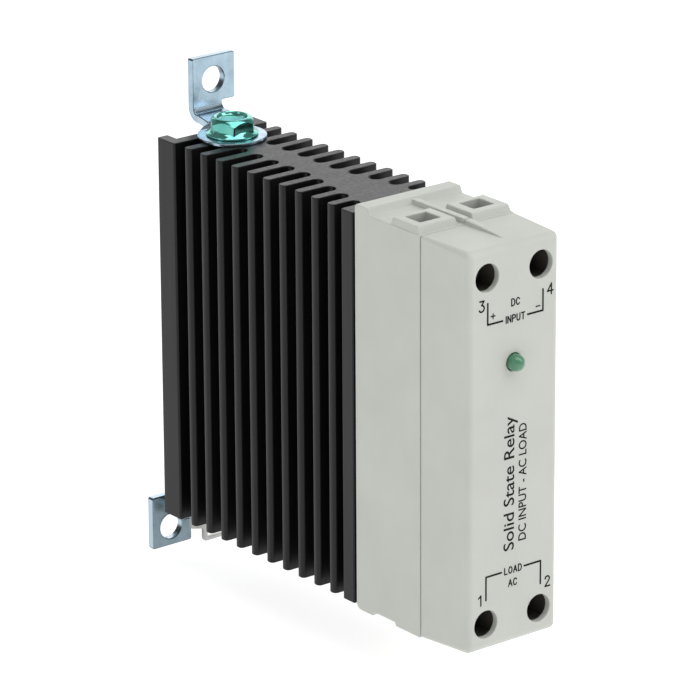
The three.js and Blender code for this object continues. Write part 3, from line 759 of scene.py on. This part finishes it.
def bent_sheet(name, loops, foot_z, radius, down, only_tab=None, pressed=1.0):
    """Bends a flat plate (x, way along the sheet) from a level foot into an upright tab."""
    flat = plate(name, loops, SHEET, SHEET_EDGE)
    start, middle, length = bend_line(radius)
    bm = bmesh.new()
    bm.from_mesh(flat.data)
    presses = [PRESS_START + (PRESS_END - PRESS_START) * i / 6 for i in range(7)]
    for at in presses + [start + length * i / 12 for i in range(13)]:
        everything = list(bm.verts) + list(bm.edges) + list(bm.faces)
        bmesh.ops.bisect_plane(bm, geom=everything, dist=1e-5, plane_co=(0, at, 0), plane_no=(0, 1, 0))
    sign = -1 if down else 1
    for vert in bm.verts:
        x, s, t = vert.co
        t = t * sign
        upright = foot_z + sign * (SHEET / 2 + radius + s - start - length)
        if only_tab is not None and only_tab(x, s):
            y, z = TAB_FRONT + SHEET / 2 - t, upright
        elif s <= start:
            share = min(max((s - PRESS_START) / (PRESS_END - PRESS_START), 0), 1)
            share = share * share * (3 - 2 * share)
            thick = pressed + (1 - pressed) * share
            y, z = s, foot_z - sign * SHEET / 2 + sign * (t + SHEET / 2) * thick
        elif s >= start + length:
            y, z = TAB_FRONT + SHEET / 2 - t, upright
        else:
            a = (s - start) / middle
            y = start + (middle - t) * math.sin(a)
            z = foot_z + sign * (SHEET / 2 + radius - (middle - t) * math.cos(a))
        vert.co = (x, y, z)
    bmesh.ops.recalc_face_normals(bm, faces=bm.faces)
    bm.to_mesh(flat.data)
    bm.free()
    return flat


def along_tab(z, foot_z, radius, down):
    """How far along the flat sheet a height on the upright tab lies."""
    sign = -1 if down else 1
    start, middle, length = bend_line(radius)
    return start + length + sign * (z - foot_z) - SHEET / 2 - radius


UPPER_BEND = 1.2
UP_FOOT = SINK_TOP + SHEET / 2
top = along_tab(89.8, UP_FOOT, UPPER_BEND, False)
notch = along_tab(80.45, UP_FOOT, UPPER_BEND, False)
foot_arc = arc(0, SCREW_Y, 6.7, 24.3, -262.2, 60)
upper_outline = foot_arc + rounded([
    (0.2, TAB_FRONT - UPPER_BEND - 0.5, 0.0),
    (0.2, top, 0.45),
    (10.4, top, 0.45),
    (10.4, notch, 0.45),
    (7.3, notch, 0.3),
    (7.3, TAB_FRONT - UPPER_BEND - 0.5, 0.0),
])
upper_loops = [
    upper_outline,
    ring(5.2, along_tab(84.95, UP_FOOT, UPPER_BEND, False), TAB_HOLE, 56),
    ring(0, SCREW_Y, SCREW_HOLE, 40),
]
upper = bent_sheet("upper_bracket_sheet", upper_loops, UP_FOOT, UPPER_BEND, False, pressed=PRESSED / SHEET)
finished(upper, "relay", ZINC, "zinc_sheet", "upper_bracket", sharp=45)

LOWER_BEND = 0.9
LOW_FOOT = -SHEET / 2
foot = along_tab(-9.3, LOW_FOOT, LOWER_BEND, True)
wing = along_tab(1.6, LOW_FOOT, LOWER_BEND, True)
short_wing = along_tab(-4.6, LOW_FOOT, LOWER_BEND, True)
relief = along_tab(-SHEET - LOWER_BEND, LOW_FOOT, LOWER_BEND, True)
lower_arc = arc(0, SCREW_Y, 5.5, 22, -205, 44)
lower_outline = lower_arc + rounded([
    (-7.1, 90.4, 0.6),
    (-7.1, relief, 0.15),
    (-7.5, relief, 0.15),
    (-7.5, wing, 0.25),
    (-11.35, wing, 0.5),
    (-11.35, foot, 0.5),
    (-1.85, foot, 0.5),
    (-1.85, short_wing, 0.3),
    (-3.6, short_wing, 0.25),
    (-3.6, short_wing - 1.2, 0.2),
    (-4.35, relief, 0.25),
    (-4.35, 89.8, 0.8),
    (0.2, 88.4, 0.0),
])
lower_loops = [
    lower_outline,
    ring(-6.8, along_tab(-5.3, LOW_FOOT, LOWER_BEND, True), TAB_HOLE, 56),
    ring(0, SCREW_Y, SCREW_HOLE, 40),
]


def in_left_wing(x, s):
    """The left wing stands beside the neck, so the bend doesn't reach it."""
    return s > 93 and x < -7.3


lower = bent_sheet("lower_bracket_sheet", lower_loops, LOW_FOOT, LOWER_BEND, True, in_left_wing)
# the lower bracket takes the copy of the zinc with painted shade
finished(lower, "relay", ZINC_PAINTED_SHADE, "zinc_sheet", "lower_bracket", sharp=45)

# ---- ground screw: cold-formed hexagon head with a dished top on a washer flange ----
HEAD_TALL = 3.6
HEX_FOOT = 0.4
HEX_CORNER = 4.62
HEX_ROUND = 0.45
HEX_TURN = math.degrees(math.atan2(-0.787, -0.617)) + 6
hex_outline = rounded([(x, y, HEX_ROUND) for x, y in arc(0, 0, HEX_CORNER, HEX_TURN, HEX_TURN + 300, 5)], 5)
hex_middle = PAD_TOP + (HEX_FOOT + HEAD_TALL) / 2
hex_head = plate("ground_screw_body", [hex_outline], HEAD_TALL - HEX_FOOT, 0.06,
                 Matrix.Translation((0, 0, hex_middle)), 1)
crown = [(0, -0.2), (5.6, -0.2), (5.6, HEAD_TALL - 1.75), (4.95, HEAD_TALL - 1.45), (4.5, HEAD_TALL - 1.05),
         (4.12, HEAD_TALL - 0.6), (3.85, HEAD_TALL - 0.25), (3.65, HEAD_TALL - 0.08), (3.4, HEAD_TALL),
         (0, HEAD_TALL)]
combine(hex_head, turned("crown", crown, (0, 0, PAD_TOP), "z", 72), "INTERSECT")
dish = [(0, HEAD_TALL - 0.75), (2.2, HEAD_TALL - 0.72), (2.65, HEAD_TALL - 0.55), (2.85, HEAD_TALL - 0.3),
        (2.95, HEAD_TALL - 0.08), (3.1, HEAD_TALL + 0.02), (3.1, HEAD_TALL + 1), (0, HEAD_TALL + 1)]
cut(hex_head, turned("dish", dish, (0, 0, PAD_TOP), "z", 72))
collar = [(0, 0.02), (4.9, 0.02), (5.06, 0.1), (5.1, 0.25), (5.06, 0.42), (4.9, 0.56), (4.62, 0.72),
          (4.3, 0.95), (4.1, 1.2), (0, 1.2)]
fuse(hex_head, turned("collar", collar, (0, 0, PAD_TOP), "z", 72))
shank = [(0, -9.6), (1.3, -9.6), (1.75, -9.0), (1.75, 0.5), (0, 0.5)]
fuse(hex_head, turned("shank", shank, (0, 0, PAD_TOP), "z", 32))
hex_head.data.transform(Matrix.Translation((0, SCREW_Y, 0)))
finished(hex_head, "relay", GREEN, "green_zinc", "ground_screw", sharp=30)

# ---- latch, hook and the screws behind and inside ----
PLATE_FRONT = 90.7
PLATE = 0.9
PLATE_EDGE = 0.14
FINGER_FRONT = 95.0
FINGER_BACK = FINGER_FRONT + PLATE
FINGER_OUT = 1.4
FINGER_IN = 2.3
FINGER_WIDE = 11.8
RAIL_LOW = 21.2
RAIL_HIGH = 56.2
UPRIGHT = Matrix.Translation((0, PLATE_FRONT + PLATE / 2, 0)) @ ALONG_Y


def finger(name, low, high):
    """A bent finger across the plate: from the plate back to the rail, then along it."""
    inward = 1 if high > low else -1
    outline = rounded([
        (PLATE_FRONT + 0.25, low, 0.14),
        (PLATE_FRONT + 0.25, low + inward * 1.2, 0.14),
        (FINGER_FRONT, low + inward * 1.2, 0.3),
        (FINGER_FRONT, high, 0.2),
        (FINGER_BACK, high, 0.2),
        (FINGER_BACK, low, 0.8),
    ])
    if inward > 0:
        outline = outline[::-1]
    return plate(name, [outline], FINGER_WIDE, 0.12, ALONG_X, 2)


# left and right shoulders differ by 0.02 mm, so that no two corners of an outline line up
latch_outline = rounded([
    (-3.55, 6.5, 0.3),
    (-3.55, -1.7, 0.3),
    (-6.5, -1.7, 0.25),
    (-6.5, -4.0, 0.25),
    (-3.55, -4.7, 0.3),
    (-3.55, -7.4, 0.6),
    (3.55, -7.4, 0.6),
    (3.55, 6.52, 0.3),
    (8.2, 6.52, 0.4),
    (8.2, 18.52, 0.4),
    (6.0, 18.52, 0.3),
    (6.0, 20.82, 0.3),
    (1.3, 20.82, 0.3),
    (1.3, 25.0, 0.3),
    (-1.3, 25.0, 0.3),
    (-1.3, 20.8, 0.3),
    (-6.0, 20.8, 0.3),
    (-6.0, 18.5, 0.3),
    (-8.2, 18.5, 0.4),
    (-8.2, 6.5, 0.4),
], 4)
window = rounded([(-2.6, -6.65, 0.2), (2.6, -6.65, 0.2), (2.6, -2.0, 0.2), (-2.6, -2.0, 0.2)], 4)
latch = plate("rail_latch_sheet", [latch_outline, window], PLATE, PLATE_EDGE, UPRIGHT, 2)
fuse(latch, finger("finger", RAIL_LOW - FINGER_OUT, RAIL_LOW + FINGER_IN))
finished(latch, "latch", STAINLESS, "stainless_sheet", "rail_latch")

hook_outline = rounded([
    (-8.4, 74.0, 0.4),
    (-8.4, 59.5, 0.4),
    (-6.0, 59.5, 0.3),
    (-6.0, 56.6, 0.3),
    (-1.3, 56.6, 0.3),
    (-1.3, 52.8, 0.3),
    (1.3, 52.8, 0.3),
    (1.3, 56.62, 0.3),
    (6.0, 56.62, 0.3),
    (6.0, 59.52, 0.3),
    (8.4, 59.52, 0.4),
    (8.4, 74.0, 0.4),
], 4)
hook_hole = ring(0, HOOK_SCREW_Z, 1.6, 32)
hook = plate("rail_hook_sheet", [hook_outline, hook_hole], PLATE, PLATE_EDGE, UPRIGHT, 2)
fuse(hook, finger("finger", RAIL_HIGH + FINGER_OUT, RAIL_HIGH - FINGER_IN))
finished(hook, "relay", STAINLESS, "stainless_sheet", "rail_hook")


def rounded_copy(node, body, material, slot, width=0.12):
    """A frame piece with its edges rounded, in the place of the plain one."""
    finished(softened(node + "_body", node, width), body, material, slot, node)


# painted shade: black blocks behind the front wall stand in for the shade inside the terminal wells
for half in ("upper", "lower"):
    rounded_copy("terminal_block_" + half, "relay", WELL_SHADE_BLACK, "black_moulding")
for node in ("rail_hook_screw", "lower_bracket_screw"):
    rounded_copy(node, "relay", PLATED, "plated_steel")
for n in (1, 2, 3, 4):
    rounded_copy(f"terminal_screw_{n}", f"screw_{n}", PLATED, "plated_steel", 0.1)
    rounded_copy(f"clamp_cage_{n}", f"clamp_{n}", PLATED, "plated_steel")

# ---- latch spring: a plated copy of the frame's coil; on the relay its upper end stays with the heat sink and its lower end follows the latch ----
spring = link("latch_spring_coil", frame["nodes"]["latch_spring"].data.copy())
spring.data.materials.clear()
spring.data.materials.append(PLATED)
spring.data.shade_smooth()
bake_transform(spring)
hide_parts("latch_spring")

# ---- printing: thin raised ink on the front face ----
INK_RISE = 0.035
INK_ROOT = 0.05
THICK_LINE = 0.18
THIN_LINE = 0.125
GLYPHS = {
    "1": (0.4, [[(0.05, 0.78), (0.32, 1.0), (0.32, 0.0)]]),
    "2": (0.62, [[(0.04, 0.76), (0.1, 0.92), (0.28, 1.0), (0.46, 0.95), (0.56, 0.78), (0.5, 0.58),
                  (0.03, 0.0), (0.6, 0.0)]]),
    "3": (0.6, [[(0.08, 1.0), (0.56, 1.0), (0.28, 0.62), (0.42, 0.6), (0.56, 0.46), (0.59, 0.28),
                 (0.5, 0.09), (0.3, 0.0), (0.12, 0.03), (0.02, 0.16)]]),
    "4": (0.66, [[(0.46, 0.0), (0.46, 1.0), (0.0, 0.32), (0.66, 0.32)]]),
    "I": (0.02, [[(0.0, 0.0), (0.0, 1.0)]]),
    "N": (0.56, [[(0.0, 0.0), (0.0, 1.0), (0.56, 0.0), (0.56, 1.0)]]),
    "P": (0.55, [[(0.0, 0.0), (0.0, 1.0), (0.35, 1.0), (0.5, 0.92), (0.55, 0.75), (0.5, 0.58), (0.35, 0.5),
                  (0.0, 0.5)]]),
    "U": (0.55, [[(0.0, 1.0), (0.0, 0.25), (0.08, 0.07), (0.27, 0.0), (0.47, 0.07), (0.55, 0.25),
                  (0.55, 1.0)]]),
    "T": (0.6, [[(0.0, 1.0), (0.6, 1.0)], [(0.3, 1.0), (0.3, 0.0)]]),
    "L": (0.5, [[(0.0, 1.0), (0.0, 0.0), (0.5, 0.0)]]),
    "O": (0.62, [[(0.31 + 0.31 * math.cos(t * math.pi / 8), 0.5 + 0.5 * math.sin(t * math.pi / 8))
                  for t in range(17)]]),
    "A": (0.62, [[(0.0, 0.0), (0.31, 1.0), (0.62, 0.0)], [(0.12, 0.36), (0.5, 0.36)]]),
    "D": (0.56, [[(0.0, 0.0), (0.0, 1.0), (0.28, 1.0), (0.47, 0.88), (0.56, 0.65), (0.56, 0.35), (0.47, 0.12),
                  (0.28, 0.0), (0.0, 0.0)]]),
    "C": (0.56, [[(0.56, 0.8), (0.45, 0.95), (0.28, 1.0), (0.1, 0.88), (0.0, 0.62), (0.0, 0.38), (0.1, 0.12),
                  (0.28, 0.0), (0.45, 0.05), (0.56, 0.2)]]),
    "+": (0.6, [[(0.0, 0.5), (0.6, 0.5)], [(0.3, 0.2), (0.3, 0.8)]]),
    "-": (0.6, [[(0.0, 0.5), (0.6, 0.5)]]),
}


def within(point, outline):
    """Whether a point lies inside a convex, anticlockwise outline."""
    return all((b - a).cross(point - a) > 0 for a, b in zip(outline, outline[1:] + outline[:1]))


def printed(name, strokes, half_width):
    """One closed solid of ink: round-ended ribbons of the strokes (x, z), merged where they meet."""
    points = []
    faces = []
    for line in strokes:
        for (x0, z0), (x1, z1) in zip(line, line[1:]):
            heading = math.degrees(math.atan2(z1 - z0, x1 - x0))
            rim = arc(x1, z1, half_width, heading - 90, heading + 90, 8)
            rim += arc(x0, z0, half_width, heading + 90, heading + 270, 8)
            faces.append(list(range(len(points), len(points) + len(rim))))
            points += [Vector(p) for p in rim]
    ribbons = [[points[k] for k in face] for face in faces]
    flat, _, triangles, *_ = delaunay_2d_cdt(points, [], faces, 0, 1e-4, False)
    triangles = [
        (a, b, c) for a, b, c in triangles
        if any(within((flat[a] + flat[b] + flat[c]) / 3, ribbon) for ribbon in ribbons)
    ]
    bm = bmesh.new()
    front = [bm.verts.new((p.x, -INK_RISE, p.y)) for p in flat]
    back = [bm.verts.new((p.x, INK_ROOT, p.y)) for p in flat]
    sides = {}
    for triangle in triangles:
        bm.faces.new([front[k] for k in triangle])
        bm.faces.new([back[k] for k in reversed(triangle)])
        for a, b in zip(triangle, triangle[1:] + triangle[:1]):
            side = (min(a, b), max(a, b))
            sides[side] = sides.get(side, 0) + 1
    for (a, b), uses in sides.items():
        if uses == 1:
            bm.faces.new((front[a], front[b], back[b], back[a]))
    bmesh.ops.delete(bm, geom=[v for v in bm.verts if not v.link_faces], context="VERTS")
    bmesh.ops.recalc_face_normals(bm, faces=bm.faces)
    return finished(mesh_from(name, bm), "relay", INK, "printing_ink", weighted=False)


def lettering(text, x, z, height, gap):
    """The strokes of a word whose first letter's foot starts at x, z."""
    strokes = []
    for letter in text:
        width, lines = GLYPHS[letter]
        for line in lines:
            strokes.append([(x + u * height, z + v * height) for u, v in line])
        x += (width + gap) * height
    return strokes


def word_width(text, height, gap):
    return sum((GLYPHS[c][0] + gap) * height for c in text) - gap * height


def centred(text, x, z, height, gap=0.28):
    """The strokes of a word whose middle is at x, z."""
    return lettering(text, x - word_width(text, height, gap) / 2, z - height / 2, height, gap)


printed("marking_3", centred("3", -7.6, 67.1, 2.0), 0.15)
printed("marking_4", centred("4", 8.5, 67.1, 2.0), 0.15)
printed("marking_1", centred("1", -7.8, 10.1, 2.0), 0.15)
printed("marking_2", centred("2", 8.4, 10.0, 2.0), 0.15)
printed("input_bracket_left", [[(-6.2, 67.4), (-6.2, 63.35), (-2.75, 63.35)]], THICK_LINE)
printed("input_bracket_right", [[(3.2, 63.35), (6.78, 63.35), (6.78, 67.4)]], THICK_LINE)
printed("load_bracket_left", [[(-2.7, 14.45), (-6.35, 14.45), (-6.35, 9.9)]], THICK_LINE)
printed("load_bracket_right", [[(2.8, 14.45), (6.7, 14.45), (6.7, 9.9)]], THICK_LINE)
printed("input_word", centred("INPUT", 0.3, 63.35, 1.25, 0.3), THIN_LINE)
printed("load_word", centred("LOAD", 0.08, 14.45, 1.25, 0.3), THIN_LINE)
printed("plus_sign", centred("+", -4.95, 64.75, 1.5), 0.12)
printed("minus_sign", centred("-", 5.6, 64.4, 1.5), 0.12)
printed("input_kind", centred("DC", 0.3, 66.4, 1.3), THIN_LINE)
printed("load_kind", centred("AC", 0.0, 11.9, 1.3), THIN_LINE)


def upright_text(name, text, size, x, z, length):
    """A word in the built-in typeface, reading upward, with its foot line at x."""
    curve = bpy.data.curves.new(name, "FONT")
    curve.body = text
    curve.size = size
    curve.extrude = (INK_RISE + INK_ROOT) / 2
    curve.resolution_u = 4
    curve.offset = 0.02
    flat = link(name + ".text", curve)
    mesh = evaluated(flat)
    bpy.data.objects.remove(flat)
    weld(mesh, 1e-4)
    low = min(v.co.x for v in mesh.vertices)
    high = max(v.co.x for v in mesh.vertices)
    mesh.transform(Matrix.Diagonal((length / (high - low), 1, 1, 1)) @ Matrix.Translation((-low, 0, 0)))
    turn = Matrix(((0, -1, 0, x), (0, 0, -1, (INK_ROOT - INK_RISE) / 2), (1, 0, 0, z), (0, 0, 0, 1)))
    mesh.transform(turn)
    obj = link(name, mesh)
    return finished(obj, "relay", INK, "printing_ink", weighted=False)


upright_text("kind_words", "Solid State Relay", 3.5, 0.2, 18.4, 26.2)
upright_text("function_words", "DC INPUT - AC LOAD", 2.6, 3.1, 19.7, 22.9)

# ---- the inner parts keep the frame's own shapes and get their finish ----
BY_SLOT = {"plated_steel": PLATED, "tinned_copper": COPPER, **INNER}
for entry in frame["record"]["subparts"]:
    node = frame["nodes"][entry["node"]]
    if node.hide_render:
        continue
    node.data.materials.clear()
    node.data.materials.append(BY_SLOT[entry["material_slot"]])

# ---- floor, light and camera ----
# the floor lies clear of the latch when it is pulled all the way down
FLOOR_GAP = 0.0025
FLOOR_HALF = 8
bm = bmesh.new()
bmesh.ops.create_grid(bm, x_segments=1, y_segments=1, size=FLOOR_HALF)
floor = mesh_from("floor", bm)
floor.location = (0, 0, cad_low.z - FLOOR_GAP)
floor_material, tree, surface = nodes_of("floor")
pale = add_ramp(tree, add_noise(tree, 3, 2), [(0.3, (0.44, 0.44, 0.44)), (0.7, (0.47, 0.47, 0.47))])
tree.links.new(pale, surface.inputs["Base Color"])
surface.inputs["Roughness"].default_value = 1.0
surface.inputs["Specular IOR Level"].default_value = 0.0
surface.inputs["Emission Color"].default_value = (1, 1, 1, 1)
surface.inputs["Emission Strength"].default_value = 0.8
floor.data.materials.append(floor_material)

middle = (cad_low + cad_high) / 2


def soft_light(name, azimuth, elevation, distance, size, power):
    """A white panel light that looks at the relay's middle; azimuth 0 is straight in front."""
    a = math.radians(azimuth)
    e = math.radians(elevation)
    away = Vector((math.sin(a) * math.cos(e), -math.cos(a) * math.cos(e), math.sin(e)))
    data = bpy.data.lights.new(name, "AREA")
    data.shape = "RECTANGLE"
    data.size, data.size_y = size
    data.energy = power
    obj = bpy.data.objects.new(name, data)
    bpy.context.scene.collection.objects.link(obj)
    obj.location = middle + away * distance
    obj.rotation_mode = "QUATERNION"
    obj.rotation_quaternion = (-away).to_track_quat("-Z", "Y")


soft_light("overhead", 10, 78, 1.0, (0.9, 0.9), 5.6)
soft_light("front_right", 42, 32, 1.1, (0.5, 0.9), 3.2)
soft_light("left", -95, 22, 1.2, (0.35, 0.9), 1.2)
soft_light("behind", 142, 24, 1.3, (1.5, 0.8), 4.4)

world = bpy.data.worlds.new("studio")
bpy.context.scene.world = world
world.use_nodes = True
tree = world.node_tree
where = tree.nodes.new("ShaderNodeTexCoord")
split = tree.nodes.new("ShaderNodeSeparateXYZ")
tree.links.new(where.outputs["Generated"], split.inputs["Vector"])
height = add_range(tree, split.outputs["Z"], 0.0, 1.0, -1.0, 1.0)
greys = ((0.0, 0.5), (0.5, 0.62), (0.72, 0.42), (1.0, 0.25))
sky = add_ramp(tree, height, [(at, (grey, grey, grey)) for at, grey in greys])
tree.links.new(sky, tree.nodes["Background"].inputs["Color"])
tree.nodes["Background"].inputs["Strength"].default_value = 0.86

# the camera looks from the front left and above; its distance, shifts and aim are in millimetres
AZIMUTH = math.radians(-38.0993)
ELEVATION = math.radians(19.6056)
ROLL = math.radians(-0.3213)
DISTANCE = 934.54
SHIFT_X = 1.9084
SHIFT_Y = -6.3621
AIM = Vector((0, 45, 38))
away = Vector((math.sin(AZIMUTH) * math.cos(ELEVATION), -math.cos(AZIMUTH) * math.cos(ELEVATION),
               math.sin(ELEVATION)))
level = Vector((math.cos(AZIMUTH), math.sin(AZIMUTH), 0))
upward = away.cross(level)
across = level * math.cos(ROLL) + upward * math.sin(ROLL)
over = -level * math.sin(ROLL) + upward * math.cos(ROLL)
eye = TO_ROW @ (AIM - across * SHIFT_X - over * SHIFT_Y + away * DISTANCE)
camera_data = bpy.data.cameras.new("camera")
camera_data.sensor_width = 36
camera_data.lens = 254.52154
camera_data.clip_start = 0.05
camera_data.clip_end = 50
camera = bpy.data.objects.new("camera", camera_data)
bpy.context.scene.collection.objects.link(camera)
camera.matrix_world = Matrix((
    (across.x, over.x, away.x, eye.x),
    (across.y, over.y, away.y, eye.y),
    (across.z, over.z, away.z, eye.z),
    (0, 0, 0, 1),
))
bpy.context.scene.camera = camera
bpy.context.scene.view_settings.view_transform = "Standard"
